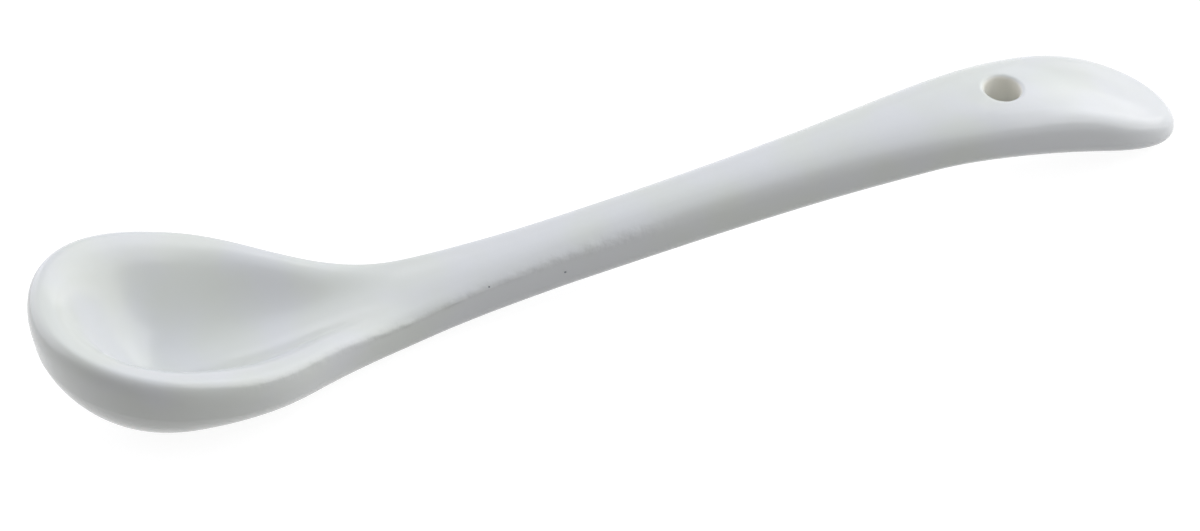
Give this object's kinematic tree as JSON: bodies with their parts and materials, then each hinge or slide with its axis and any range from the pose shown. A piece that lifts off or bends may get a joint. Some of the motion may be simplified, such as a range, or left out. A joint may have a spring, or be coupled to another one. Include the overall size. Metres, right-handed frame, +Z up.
{
  "type": "mustard spoon",
  "caption": "Small one-piece glazed porcelain spoon: deep egg-shaped bowl, slim handle that rises and droops to a rounded paddle end with a hanging hole.",
  "frame": {"origin": "centre of the plan's box, on the table that the spoon lies on", "axes": "+X along the spoon from the nose of the bowl to the tip of the handle, +Z up out of the bowl's hollow"},
  "size_m": [0.12, 0.024, 0.0139],
  "materials": {
    "glaze": "cool white glaze, glossy, slightly uneven"
  },
  "bodies": {
    "root": {"spoon_body": "glaze"}
  },
  "joints": []
}
